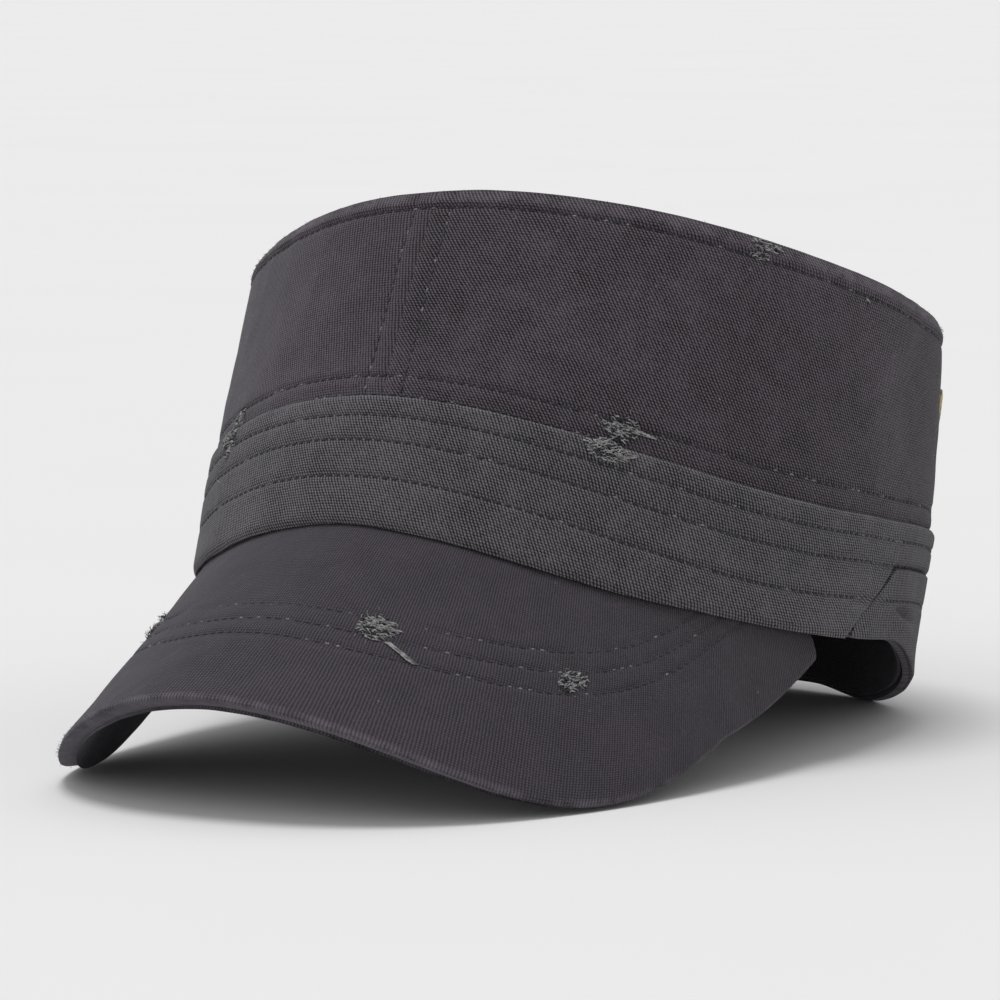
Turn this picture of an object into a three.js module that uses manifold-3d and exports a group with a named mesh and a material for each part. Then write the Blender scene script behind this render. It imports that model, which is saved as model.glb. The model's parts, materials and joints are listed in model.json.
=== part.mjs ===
// Cadet cap of washed cotton twill: a flat oval top, upright sides, a band with a front flap, and
// an arched peak. It stands as it would by itself, on the two corners of the peak and on its hem.
// Millimetres and degrees. Z is up, the front faces -Y and the wearer's left is +X.

import * as THREE from "three";
import { mergeVertices } from "three/addons/utils/BufferGeometryUtils.js";
import Module from "manifold-3d";

// Oval of the head opening, on the outer face of the crown's cloth
const hemHalfWidth = 79.9;
const hemFront = 98.1;
const hemBack = 101.1;
const hemFrontSquareness = 2;
const hemBackSquareness = 2.28;

// Oval of the top
const topHalfWidth = 85;
const topFront = 82.6;
const topBack = 88.8;
const topFrontSquareness = 2;
const topBackSquareness = 1.9;
const topLean = 4;
const topDome = 2.5;
const topFlatShare = 0.7;

// Crown
const crownHeight = 83.2;
const crownCloth = 1.6;
const sideBelly = 1.6;
const rimStitchDepth = 4.5;
const rimPinch = 0.5;
const rimRoll = 1.4;

// Band and the flap that hangs free over the root of the peak
const bandHeight = 30;
const bandCloth = 1;
const flapHingeHeight = 19;
const flapStandOff = 0.7;
const flapOverhang = 0.6;
const flapEndLow = 86;
const flapEndHigh = 98;
const flapTuck = 4;

// Sweatband
const sweatbandHeight = 30;
const sweatbandCloth = 1;
const sweatbandInset = 1;

// Peak
const peakHalfWidth = 77.7;
const peakReach = 47.6;
const peakSideStart = 4.6;
const peakFrontSquareness = 2.32;
const peakSideSquareness = 2.25;
const peakSlope = 43.8;
const peakArchDepth = 54;
const peakArchPower = 2.04;
const peakCornerDepth = 29.5;
const peakCornerPower = 5;
const peakNarrowing = 0.14;
const peakRootDrop = 7.8;
const peakRootAngle = 80;
const peakLipAngle = 87;
const peakThickness = 4.4;

// Eyelets
const eyeletAngle = 124;
const eyeletHeight = 64;
const eyeletDiameter = 10;
const eyeletHole = 5;
const eyeletMetal = 0.6;

// Room between two pieces that lie against each other
const clearance = 0.3;

// How finely facets divide the cloth: degrees between columns round the wall, the number of
// columns across the peak, the distance between rows, and the row that rounds each edge
const columnSpacing = 5;
const peakColumns = 40;
const rowSpacing = 10;
const edgeRow = 1.5;
const edgeRounding = 0.25;

// How the cap's lines rise and fall from the front to the back, alike on both sides, as shares of
// the crown's height: the stitched lines of the band, the drop of the hem below them, and the rim.
const waves = [
  { angle: 0, line: 0, hem: -0.002, rim: 0 },
  { angle: 15, line: -0.015, hem: 0.004, rim: -0.007 },
  { angle: 30, line: -0.051, hem: 0.004, rim: -0.027 },
  { angle: 45, line: -0.091, hem: -0.007, rim: -0.053 },
  { angle: 60, line: -0.11, hem: -0.026, rim: -0.078 },
  { angle: 75, line: -0.091, hem: -0.025, rim: -0.094 },
  { angle: 90, line: -0.036, hem: -0.012, rim: -0.098 },
  { angle: 105, line: 0.033, hem: 0, rim: -0.089 },
  { angle: 120, line: 0.082, hem: 0.082, rim: -0.069 },
  { angle: 135, line: 0.09, hem: 0.119, rim: -0.045 },
  { angle: 150, line: 0.073, hem: 0.105, rim: -0.022 },
  { angle: 165, line: 0.103, hem: 0.078, rim: -0.006 },
  { angle: 180, line: 0.111, hem: 0.072, rim: 0 },
];

// Soft dents in the side wall: where they lie, how far they reach, and how deep they are. Height,
// tall and depth are shares of the crown's height.
const dents = [
  { angle: -38, height: 0.72, wide: 16, tall: 0.2, depth: 0.012 },
  { angle: 52, height: 0.62, wide: 22, tall: 0.25, depth: 0.01 },
  { angle: 96, height: 0.7, wide: 9, tall: 0.3, depth: 0.015 },
  { angle: 112, height: 0.12, wide: 9, tall: 0.16, depth: 0.01 },
  { angle: -118, height: 0.55, wide: 14, tall: 0.3, depth: 0.018 },
  { angle: 158, height: 0.5, wide: 16, tall: 0.3, depth: 0.018 },
];

const radians = THREE.MathUtils.degToRad;

// Sign-keeping power, which turns a circle's sine or cosine into a squarer oval's
function squared(value, squareness) {
  return Math.sign(value) * Math.abs(value) ** (2 / squareness);
}

// Smooth value of a column of the wave table at an angle around the head
function wave(angle, column) {
  const spacing = waves[1].angle - waves[0].angle;
  const turned = Math.abs(((angle + 540) % 360) - 180);
  const place = turned / spacing;
  const first = Math.min(Math.floor(place), waves.length - 2);
  const part = place - first;
  const mirrored = (index) => {
    const last = waves.length - 1;
    const inside = Math.abs(index);
    return waves[inside > last ? 2 * last - inside : inside][column];
  };
  const [before, start, end, after] = [-1, 0, 1, 2].map((step) => mirrored(first + step));
  const bend = 2 * before - 5 * start + 4 * end - after;
  const twist = 3 * start - before - 3 * end + after;
  return start + 0.5 * part * (end - before + part * (bend + part * twist));
}

// Lengths of the oval's axes and its squareness at a share of the crown's height
function ovalAt(share) {
  const belly = 4 * sideBelly * Math.max(share * (1 - share), 0);
  const mix = (low, high) => low + (high - low) * share;
  return {
    halfWidth: mix(hemHalfWidth, topHalfWidth) + belly,
    front: mix(hemFront, topFront) + belly,
    back: mix(hemBack, topBack) + belly,
    frontSquareness: mix(hemFrontSquareness, topFrontSquareness),
    backSquareness: mix(hemBackSquareness, topBackSquareness),
  };
}

// A point of the oval, at its height with the cap's waves in it
function ovalPoint(angle, height) {
  const share = height / crownHeight;
  const oval = ovalAt(share);
  const sine = Math.sin(radians(angle));
  const cosine = Math.cos(radians(angle));
  const length = cosine > 0 ? oval.front : oval.back;
  const squareness = cosine > 0 ? oval.frontSquareness : oval.backSquareness;
  const x = oval.halfWidth * squared(sine, squareness);
  const y = -length * squared(cosine, squareness);
  const rise = wave(angle, "line") * (1 - share) + wave(angle, "rim") * share;
  const lean = x * Math.tan(radians(topLean)) * share;
  return new THREE.Vector3(x, y, height + rise * crownHeight + lean);
}

// How far the cloth lies inside the smooth oval: its dents, the rim's stitching, and the rim
// itself, which rolls in
function hollowAt(angle, height) {
  let depth = 0;
  for (const dent of dents) {
    const across = (angle - dent.angle) / dent.wide;
    const up = (height / crownHeight - dent.height) / dent.tall;
    depth += dent.depth * crownHeight * Math.exp(-across * across - up * up);
  }
  const stitchHeight = crownHeight - rimStitchDepth;
  const fromStitch = (height - stitchHeight) / (rimStitchDepth / 3);
  const roll = Math.max((height - stitchHeight) / rimStitchDepth, 0);
  return depth + rimPinch * Math.exp(-fromStitch * fromStitch) + rimRoll * roll * roll;
}

// A point of the side wall, moved outwards from the outer face of the crown's cloth
function wallPoint(angle, height, outwards) {
  const step = 0.5;
  const along = ovalPoint(angle + step, height).sub(ovalPoint(angle - step, height));
  along.setZ(0).normalize();
  const out = new THREE.Vector3(along.y, -along.x, 0);
  const turned = ((angle + 540) % 360) - 180;
  return ovalPoint(angle, height).addScaledVector(out, outwards - hollowAt(turned, height));
}

// Height of the hem, which drops below the band's lowest line at the sides and the back
function hemHeight(angle) {
  return -wave(angle, "hem") * crownHeight;
}

// Values at even steps from first to last
function steps(first, last, count) {
  return Array.from({ length: count + 1 }, (_, i) => first + ((last - first) * i) / count);
}

// Angles of the columns of every layer of the wall. The layers share them, so that they stay
// parallel, and the flap's ends lie on columns of their own.
function columnsBetween(first, last) {
  const ends = [flapEndLow, flapEndHigh].flatMap((angle) => [angle, -angle, 360 - angle]);
  const even = steps(-360, 360, 720 / columnSpacing);
  const inside = [...even, ...ends].filter((angle) => angle > first && angle < last);
  const sorted = [...new Set([first, ...inside, last])];
  return sorted.sort((one, other) => one - other);
}

// Rows across a sheet of a width: even ones, and one more at each edge, where the cloth is thinner
function rowsAcross(width, spacing = rowSpacing) {
  const edge = edgeRow / width;
  const count = Math.round(width / spacing);
  const inner = steps(edge, 1 - edge, count).map((share) => ({ share, thin: 0 }));
  return [{ share: 0, thin: edgeRounding }, ...inner, { share: 1, thin: edgeRounding }];
}

// A sheet of cloth as a closed body. Each column gives one cross-section: its rows up the outer
// face and back down the inner face. place(column, share, depth) puts a point, where depth runs
// from 0 on the inner face to 1 on the outer one. A ring's last column joins its first.
function sheet(columns, rows, isRing, place) {
  const sections = columns.map((column) => [
    ...rows.map((row) => place(column, row.share, 1 - row.thin)),
    ...rows.map((row) => place(column, row.share, row.thin)).reverse(),
  ]);
  const size = 2 * rows.length;
  const faces = [];
  const quad = (a, b, c, d) => faces.push(a, b, c, a, c, d);
  for (let s = 0; s < columns.length - (isRing ? 0 : 1); s++) {
    const here = s * size;
    const next = ((s + 1) % columns.length) * size;
    for (let p = 0; p < size; p++) {
      const q = (p + 1) % size;
      quad(here + p, next + p, next + q, here + q);
    }
  }
  if (!isRing) {
    const end = (columns.length - 1) * size;
    for (let p = 0; p < rows.length - 1; p++) {
      const back = size - 1 - p;
      quad(p, p + 1, back - 1, back);
      quad(end + back, end + back - 1, end + p + 1, end + p);
    }
  }
  const geometry = new THREE.BufferGeometry().setFromPoints(sections.flat());
  geometry.setIndex(faces);
  geometry.computeVertexNormals();
  return geometry;
}

const wasm = await Module();
wasm.setup();

// Closed body of a geometry, with only its shape left
function solid(geometry) {
  const bare = geometry.clone();
  bare.deleteAttribute("normal");
  bare.deleteAttribute("uv");
  const merged = mergeVertices(bare, 1e-4);
  const vertProperties = merged.attributes.position.array;
  const triVerts = new Uint32Array(merged.index.array);
  return new wasm.Manifold(new wasm.Mesh({ numProp: 3, vertProperties, triVerts }));
}

// Takes the second geometry out of the first
function cut(geometry, tool) {
  const mesh = solid(geometry).subtract(solid(tool)).getMesh();
  const result = new THREE.BufferGeometry();
  result.setAttribute("position", new THREE.BufferAttribute(mesh.vertProperties, 3));
  result.setIndex(new THREE.BufferAttribute(mesh.triVerts, 1));
  result.computeVertexNormals();
  return result;
}

function part(name, geometry, color, roughness, metalness = 0) {
  const material = new THREE.MeshStandardMaterial({ color, roughness, metalness });
  const mesh = new THREE.Mesh(geometry, material);
  mesh.name = name;
  return mesh;
}

// Puts an object on the wall at an angle and a height, its Y axis straight out of the cloth
function seatOnWall(object, angle, height) {
  const middle = wallPoint(angle, height, 0);
  const side = wallPoint(angle + 2, height, 0).sub(wallPoint(angle - 2, height, 0));
  const up = wallPoint(angle, height + 2, 0).sub(wallPoint(angle, height - 2, 0));
  const out = side.cross(up).normalize();
  object.quaternion.setFromUnitVectors(new THREE.Vector3(0, 1, 0), out);
  object.position.copy(middle);
  return object;
}

// Half of the side wall, from the seam at the middle of the front to the one at the back. side is
// 1 for the wearer's left and -1 for the right.
function crownSide(name, side) {
  const top = crownHeight - crownCloth - clearance;
  const place = (angle, share, depth) => {
    const bottom = hemHeight(angle);
    const height = bottom + (top - bottom) * share;
    const point = wallPoint(angle, height, (depth - 1) * crownCloth);
    return point.setX(point.x + (side * clearance) / 2);
  };
  const angles = side > 0 ? columnsBetween(0, 180) : columnsBetween(-180, 0);
  const wall = sheet(angles, rowsAcross(crownHeight), false, place);
  const bore = new THREE.CylinderGeometry(1, 1, 1, 20);
  const boreRadius = eyeletHole / 2 + eyeletMetal + clearance;
  bore.scale(boreRadius, 6 * crownCloth, boreRadius);
  const tool = seatOnWall(new THREE.Object3D(), side * eyeletAngle, eyeletHeight);
  tool.updateMatrix();
  bore.applyMatrix4(tool.matrix);
  return part(name, cut(wall, bore), 0x3f3a40, 0.9);
}

// Flat oval top, one panel that covers the upper edge of the side wall
function crownTop() {
  const profile = [
    { reach: 0, height: 1, depth: 0 },
    { reach: topFlatShare, height: 1, depth: 0 },
    { reach: 0.9, height: 0.45, depth: 0 },
    { reach: 0.99, height: 0, depth: 0 },
    { reach: 1, height: 0, depth: 0.5 },
    { reach: 0.99, height: 0, depth: 1 },
    { reach: 0.9, height: 0.45, depth: 1 },
    { reach: topFlatShare, height: 1, depth: 1 },
    { reach: 0, height: 1, depth: 1 },
  ];
  const segments = 360 / columnSpacing;
  const outline = profile.map((row, index) => new THREE.Vector2(row.reach, index));
  const geometry = new THREE.LatheGeometry(outline, segments);
  const positions = geometry.attributes.position;
  const middle = new THREE.Vector3(0, (topBack - topFront) / 2, 0);
  const flatRise = wave(45, "rim") * crownHeight;
  for (let i = 0; i < positions.count; i++) {
    const row = profile[Math.round(positions.getY(i))];
    const angle = (360 * Math.floor(i / profile.length)) / segments;
    const rim = wallPoint(angle, crownHeight, 0);
    const point = rim.clone().sub(middle).multiplyScalar(row.reach).add(middle);
    const leanAtRim = rim.x * Math.tan(radians(topLean));
    const rise = rim.z - crownHeight - leanAtRim;
    const blend = THREE.MathUtils.smoothstep(row.reach, topFlatShare, 1);
    const lean = point.x * Math.tan(radians(topLean));
    const level = crownHeight + flatRise + (rise - flatRise) * blend + lean;
    positions.setXYZ(i, point.x, point.y, level + row.height * topDome + (row.depth - 1) * crownCloth);
  }
  geometry.computeVertexNormals();
  return part("crown_top", geometry, 0x423e43, 0.9);
}

// Lower edge of the band: the flap in front, a slanted cut at each of its ends, and behind them
// the stitched line where the flap hinges
function bandBottom(angle) {
  const turned = Math.abs(((angle + 540) % 360) - 180);
  const past = THREE.MathUtils.clamp((turned - flapEndLow) / (flapEndHigh - flapEndLow), 0, 1);
  const low = hemHeight(angle) - flapOverhang;
  return low + (flapHingeHeight - low) * past;
}

// How far the flap stands off the wall
function flapStand(height) {
  const down = THREE.MathUtils.clamp((flapHingeHeight - height) / flapHingeHeight, 0, 1);
  return flapStandOff * down ** 1.3;
}

function band() {
  const place = (angle, share, depth) => {
    const bottom = bandBottom(angle);
    const height = bottom + (bandHeight - bottom) * share;
    return wallPoint(angle, height, clearance + flapStand(height) + depth * bandCloth);
  };
  const angles = columnsBetween(-180, 180).slice(0, -1);
  return part("band", sheet(angles, rowsAcross(bandHeight), true, place), 0x454547, 0.9);
}

// The band behind the flap, from under its slanted ends round the back, down to the hem
function underBand() {
  const start = flapEndLow + flapTuck;
  const place = (angle, share, depth) => {
    const bottom = hemHeight(angle);
    const top = bandBottom(angle) - 2 * clearance;
    const height = bottom + (top - bottom) * share;
    return wallPoint(angle, height, clearance + depth * bandCloth);
  };
  const angles = columnsBetween(start, 360 - start);
  const rows = rowsAcross(flapHingeHeight);
  return part("under_band", sheet(angles, rows, false, place), 0x454547, 0.9);
}

// Plain strip inside the opening
function sweatband() {
  const outer = -crownCloth - clearance;
  const place = (angle, share, depth) => {
    const bottom = hemHeight(angle) + sweatbandInset;
    const height = bottom + (sweatbandHeight - bottom) * share;
    return wallPoint(angle, height, outer + (depth - 1) * sweatbandCloth);
  };
  const angles = columnsBetween(-180, 180).slice(0, -1);
  const rows = rowsAcross(sweatbandHeight);
  return part("sweatband", sheet(angles, rows, true, place), 0x1b1b1e, 0.95);
}

// Height of the peak's lower face: it slopes forward from its root, bends down at both sides, most
// of all at its corners, and bends a little tighter towards the lip
function archHeight(x, y) {
  const fall = (-y - hemFront) * Math.tan(radians(peakSlope));
  const halfway = hemFront / 2;
  const forward = THREE.MathUtils.clamp((-y - halfway) / (halfway + peakReach), 0, 1);
  const aside = Math.abs(x) / (peakHalfWidth * (1 - peakNarrowing * forward));
  const arch = peakArchDepth * aside ** peakArchPower;
  const corner = peakCornerDepth * aside ** peakCornerPower;
  return -peakRootDrop - fall - arch - corner;
}

// Straight up from the peak's face at a place
function peakNormal(x, y) {
  const step = 0.1;
  const aside = (archHeight(x + step, y) - archHeight(x - step, y)) / (2 * step);
  const back = (archHeight(x, y + step) - archHeight(x, y - step)) / (2 * step);
  return new THREE.Vector3(-aside, -back, 1).normalize();
}

// Root of the peak's lower face. The upper face begins at the outer lower edge of the wall.
class PeakRoot extends THREE.Curve {
  getPoint(t) {
    const angle = (2 * t - 1) * peakRootAngle;
    const root = wallPoint(angle, hemHeight(angle), 0);
    root.z -= clearance;
    return root.addScaledVector(peakNormal(root.x, root.y), -peakThickness);
  }
}

// Outer edge of the peak's lower face
class PeakLip extends THREE.Curve {
  getPoint(t) {
    const turn = radians((2 * t - 1) * peakLipAngle);
    const length = hemFront + peakReach - peakSideStart;
    const x = peakHalfWidth * squared(Math.sin(turn), peakSideSquareness);
    const y = -peakSideStart - length * squared(Math.cos(turn), peakFrontSquareness);
    return new THREE.Vector3(x, y, archHeight(x, y));
  }
}

function peak() {
  const root = new PeakRoot();
  const lip = new PeakLip();
  root.arcLengthDivisions = 400;
  lip.arcLengthDivisions = 400;
  const place = (t, share, depth) => {
    const start = root.getPointAt(t);
    const point = start.clone().lerp(lip.getPointAt(t), share);
    const rootError = start.z - archHeight(start.x, start.y);
    point.setZ(archHeight(point.x, point.y) + rootError * (1 - share) ** 2);
    return point.addScaledVector(peakNormal(point.x, point.y), depth * peakThickness);
  };
  const width = peakReach / Math.cos(radians(peakSlope));
  const geometry = sheet(steps(1, 0, peakColumns), rowsAcross(width), false, place);
  return part("peak", geometry, 0x3d383e, 0.9);
}

// Brass eyelet: a short tube through the wall, rolled out flat on both sides
function eyelet(name, side) {
  const inside = -crownCloth - clearance;
  const outer = eyeletDiameter / 2;
  const hole = eyeletHole / 2;
  const tube = hole + eyeletMetal;
  const round = eyeletMetal / 2;
  const profile = [
    [hole, inside - eyeletMetal + round],
    [hole + round, inside - eyeletMetal],
    [outer - round, inside - eyeletMetal],
    [outer, inside - round],
    [outer - round, inside],
    [tube, inside],
    [tube, clearance],
    [outer - round, clearance],
    [outer, clearance + round],
    [outer - round, clearance + eyeletMetal],
    [hole + round, clearance + eyeletMetal],
    [hole, clearance + eyeletMetal - round],
    [hole, inside - eyeletMetal + round],
  ];
  const outline = profile.map(([radius, height]) => new THREE.Vector2(radius, height));
  const ring = part(name, new THREE.LatheGeometry(outline, 16), 0x8c7a4a, 0.4, 0.9);
  return seatOnWall(ring, side * eyeletAngle, eyeletHeight);
}

// Height of a geometry's lowest point once the cap is tipped forward by a slope, and that point
function lowestPoint(meshes, slope) {
  let lowest = new THREE.Vector3(0, 0, Infinity);
  const tilt = Math.atan(slope);
  const level = (p) => p.z * Math.cos(tilt) - p.y * Math.sin(tilt);
  for (const mesh of meshes) {
    const positions = mesh.geometry.attributes.position;
    for (let i = 0; i < positions.count; i++) {
      const point = new THREE.Vector3().fromBufferAttribute(positions, i);
      if (level(point) < level(lowest)) lowest = point;
    }
  }
  return lowest;
}

// Slope at which the peak and the hem touch a flat surface together
function restingSlope(peakMesh, hemMeshes) {
  let slope = 0;
  for (let i = 0; i < 20; i++) {
    const front = lowestPoint([peakMesh], slope);
    const back = lowestPoint(hemMeshes, slope);
    slope = (front.z - back.z) / (front.y - back.y);
  }
  return slope;
}

const cap = new THREE.Group();
const brim = peak();
const sides = [crownSide("crown_side_left", 1), crownSide("crown_side_right", -1)];
const lowBand = underBand();
cap.add(brim, ...sides, crownTop(), band(), lowBand, sweatband());
cap.add(eyelet("eyelet_left", 1), eyelet("eyelet_right", -1));
cap.rotation.x = -Math.atan(restingSlope(brim, [...sides, lowBand]));

// The surface under the cap is Z = 0, and the origin is under the middle of the cap's outer size
const restingCap = new THREE.Group();
restingCap.add(cap);
const room = new THREE.Box3().setFromObject(restingCap, true);
const centre = room.getCenter(new THREE.Vector3());
cap.position.set(-centre.x, -centre.y, -room.min.z);

export default restingCap;
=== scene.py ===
# %% [markdown]
# # A washed cadet cap
#
# The cap has a flat oval top, upright sides in two panels, a band whose front hangs as a free
# flap, and a deep arched peak. It is sewn from cotton twill that was dyed, washed and rubbed until
# its edges frayed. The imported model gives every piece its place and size. This lesson gives them
# finer shapes, weave, stitches, loose threads and wear.

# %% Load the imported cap
import json
import math
import random

import bmesh
import bpy
from mathutils import Matrix, Vector, noise


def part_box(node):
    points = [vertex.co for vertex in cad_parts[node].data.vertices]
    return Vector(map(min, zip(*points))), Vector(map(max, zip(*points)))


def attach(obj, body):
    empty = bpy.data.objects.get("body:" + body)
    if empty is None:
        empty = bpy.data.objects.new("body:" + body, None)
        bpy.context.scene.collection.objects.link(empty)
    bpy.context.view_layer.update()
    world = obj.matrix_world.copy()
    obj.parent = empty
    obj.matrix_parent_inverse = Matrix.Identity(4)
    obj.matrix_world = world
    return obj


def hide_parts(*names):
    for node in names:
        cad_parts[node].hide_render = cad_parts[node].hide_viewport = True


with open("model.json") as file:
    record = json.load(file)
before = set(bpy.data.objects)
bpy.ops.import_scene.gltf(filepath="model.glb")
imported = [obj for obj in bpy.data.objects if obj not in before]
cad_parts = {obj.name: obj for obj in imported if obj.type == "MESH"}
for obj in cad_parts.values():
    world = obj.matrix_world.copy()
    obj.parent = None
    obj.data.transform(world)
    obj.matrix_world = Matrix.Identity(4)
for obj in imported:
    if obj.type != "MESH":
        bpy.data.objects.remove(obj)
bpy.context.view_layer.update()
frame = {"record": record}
mm = 0.001

# %% [markdown]
# ## Camera
#
# The photograph is a product shot through a long lens, a little from the wearer's left and barely
# above the surface. The angles below were measured from it. A long lens keeps the oval of the top
# and the lobes of the peak from spreading.

# %% Camera
camera_azimuth = math.radians(30.0)
camera_elevation = math.radians(5.8)
camera_roll = math.radians(0.39)
camera_distance = 1.367
camera_target = Vector((-0.00819, 0.01331, 0.05752))
film_width = 36.0
focal_share = 5.6456

toward_camera = Vector((
    math.sin(camera_azimuth) * math.cos(camera_elevation),
    -math.cos(camera_azimuth) * math.cos(camera_elevation),
    math.sin(camera_elevation),
))
camera_data = bpy.data.cameras.new("camera")
camera_data.sensor_width = film_width
camera_data.lens = film_width * focal_share
camera = bpy.data.objects.new("camera", camera_data)
bpy.context.scene.collection.objects.link(camera)
bpy.context.scene.camera = camera
aim = toward_camera.to_track_quat("Z", "Y").to_matrix().to_4x4()
turn = Matrix.Rotation(-camera_roll, 4, "Z")
camera.matrix_world = Matrix.Translation(camera_target + toward_camera * camera_distance) @ aim @ turn
print("camera lens", round(camera_data.lens), "mm")

# %% [markdown]
# ## Where the cap stands
#
# The cap leans back on the corners of its peak and the back of its hem. Its pieces are easier to
# make upright, in the cap's own millimetres, and then to set down. The lean is read from the flat
# top, and the place from the two eyelets.

# %% The cap's own shape
hem_half_width = 79.9
hem_front = 98.1
hem_back = 101.1
hem_back_squareness = 2.28
top_half_width = 85
top_front = 82.6
top_back = 88.8
top_back_squareness = 1.9
top_lean = math.tan(math.radians(4))
crown_height = 83.2
crown_cloth = 1.6
side_belly = 1.6
rim_stitch_depth = 4.5
eyelet_angle = 124
eyelet_height = 64
waves = [
    # angle, line, hem, rim
    (0, 0, -0.002, 0),
    (15, -0.015, 0.004, -0.007),
    (30, -0.051, 0.004, -0.027),
    (45, -0.091, -0.007, -0.053),
    (60, -0.11, -0.026, -0.078),
    (75, -0.091, -0.025, -0.094),
    (90, -0.036, -0.012, -0.098),
    (105, 0.033, 0, -0.089),
    (120, 0.082, 0.082, -0.069),
    (135, 0.09, 0.119, -0.045),
    (150, 0.073, 0.105, -0.022),
    (165, 0.103, 0.078, -0.006),
    (180, 0.111, 0.072, 0),
]
line, hem, rim = 1, 2, 3
dents = [
    # angle, height, wide, tall, depth
    (-38, 0.72, 16, 0.2, 0.012),
    (52, 0.62, 22, 0.25, 0.01),
    (96, 0.7, 9, 0.3, 0.015),
    (112, 0.12, 9, 0.16, 0.01),
    (-118, 0.55, 14, 0.3, 0.018),
    (158, 0.5, 16, 0.3, 0.018),
]


def squared(value, squareness):
    return math.copysign(abs(value) ** (2 / squareness), value)


def half_turn(angle):
    return (angle + 540) % 360 - 180


def wave(angle, column):
    """Height of one of the cap's waves round the head, as a share of the crown's height."""
    place = abs(half_turn(angle)) / 15
    first = min(int(place), len(waves) - 2)
    part = place - first
    last = len(waves) - 1
    near = [abs(first + step) for step in (-1, 0, 1, 2)]
    before, start, end, after = [waves[2 * last - i if i > last else i][column] for i in near]
    bend = 2 * before - 5 * start + 4 * end - after
    twist = 3 * start - before - 3 * end + after
    return start + 0.5 * part * (end - before + part * (bend + part * twist))


def hem_height(angle):
    return -wave(angle, hem) * crown_height


def oval(angle, height):
    """A point of the smooth side wall, upright, in the cap's millimetres."""
    share = height / crown_height
    belly = 4 * side_belly * max(share * (1 - share), 0)
    sine = math.sin(math.radians(angle))
    cosine = math.cos(math.radians(angle))
    x = hem_half_width + (top_half_width - hem_half_width) * share + belly
    if cosine > 0:
        y = -(hem_front + (top_front - hem_front) * share + belly) * cosine
        x *= sine
    else:
        squareness = hem_back_squareness + (top_back_squareness - hem_back_squareness) * share
        y = -(hem_back + (top_back - hem_back) * share + belly) * squared(cosine, squareness)
        x *= squared(sine, squareness)
    rise = wave(angle, line) * (1 - share) + wave(angle, rim) * share
    return Vector((x, y, height + rise * crown_height + x * top_lean * share))


def oval_outwards(angle, height):
    along = oval(angle + 0.5, height) - oval(angle - 0.5, height)
    return Vector((along.y, -along.x, 0)).normalized()


eyelet_middle = -crown_cloth / 2
top_normal = Vector(frame["record"]["mounts"][0]["axis"])
lean_back = Matrix.Rotation(-math.atan2(top_normal.y, top_normal.z), 3, "X")
places = []
for side, node in ((1, "eyelet_left"), (-1, "eyelet_right")):
    low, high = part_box(node)
    upright = oval(side * eyelet_angle, eyelet_height)
    upright += oval_outwards(side * eyelet_angle, eyelet_height) * eyelet_middle
    places.append((low + high) / 2 - lean_back @ upright * mm)
stand = (places[0] + places[1]) / 2


def set_down(point):
    """From the cap's upright millimetres to the frame."""
    return lean_back @ point * mm + stand


print("the cap's own middle stands at", [round(part / mm, 1) for part in stand], "mm")

# %% [markdown]
# ## The wall
#
# All the layers of the wall follow one surface: the smooth oval, pressed in by soft dents, by the
# gentle unevenness of washed cloth, and by the pull of every row of stitches. Near the front, on
# the wearer's right, the sewn rows also ride a little higher. The dents could be sculpted on each
# layer. Here a function of the angle round the head, the height and the distance outwards gives
# any point of the wall, so that layers and stitches always lie on each other.

# %% The pressed and stitched wall
crown_stitch_height = 35.3
band_height = 30
band_stitch_heights = (25.2, 19.2, 10.5)
seam_stitch_distance = 5.0
# A row of near-black stitches and its groove at the band's top edge; the row also paints the dark shadow
# line there.
band_top_dark_line_height = band_height + 0.5
rim_stitch_height = crown_height - rim_stitch_depth
rim_roll = 1.4
groove_depth = 0.5
groove_width = 0.75
noise_circle = 90
swell_depth = 0.55
swell_size = 26
ripple_depth = 0.25
ripple_size = 9
row_lift = 1.2
lift_angle = -30
lift_half_width = 45
lift_height = 24
lift_half_height = 20


def dip(distance, width):
    return math.exp(-(distance / width) ** 2)


def soft_unevenness(angle, height, size, seed):
    """Smooth noise on the wall, the same at both ends of the turn. Size is in millimetres."""
    turn = math.radians(angle)
    spot = Vector((noise_circle * math.sin(turn), noise_circle * math.cos(turn), height + 37 * seed))
    return noise.noise(spot / size)


def pressed(angle, height):
    """How far the cloth lies inside the smooth oval."""
    depth = 0
    turned = half_turn(angle)
    for dent_angle, dent_height, wide, tall, deep in dents:
        up = (height / crown_height - dent_height) / tall
        depth += deep * crown_height * math.exp(-((turned - dent_angle) / wide) ** 2 - up * up)
    rolled = max((height - crown_height + rim_stitch_depth) / rim_stitch_depth, 0)
    depth += rim_roll * rolled * rolled
    swell = swell_depth * soft_unevenness(angle, height, swell_size, 1)
    ripple = ripple_depth * soft_unevenness(angle, height, ripple_size, 2)
    return depth - (swell + ripple)


def lifted(angle, height):
    """Near the front, on the wearer's right, the sewn rows ride about a millimetre higher."""
    across = math.exp(-(((half_turn(angle) - lift_angle) / lift_half_width) ** 4))
    rows = math.exp(-(((height - lift_height) / lift_half_height) ** 4))
    return height + row_lift * across * rows


def wall(angle, height, outwards):
    reach = outwards - pressed(angle, height)
    return oval(angle, lifted(angle, height)) + oval_outwards(angle, height) * reach


def pucker(angle, height, stitch_height):
    """The pull of one stitched row: a groove that tightens and slackens along the seam."""
    uneven = 1 + 0.5 * soft_unevenness(angle, height, 4, 3)
    return groove_depth * uneven * dip(height - stitch_height, groove_width)


print("wall at the front, half way up", [round(part, 1) for part in wall(0, 40, 0)])

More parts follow.
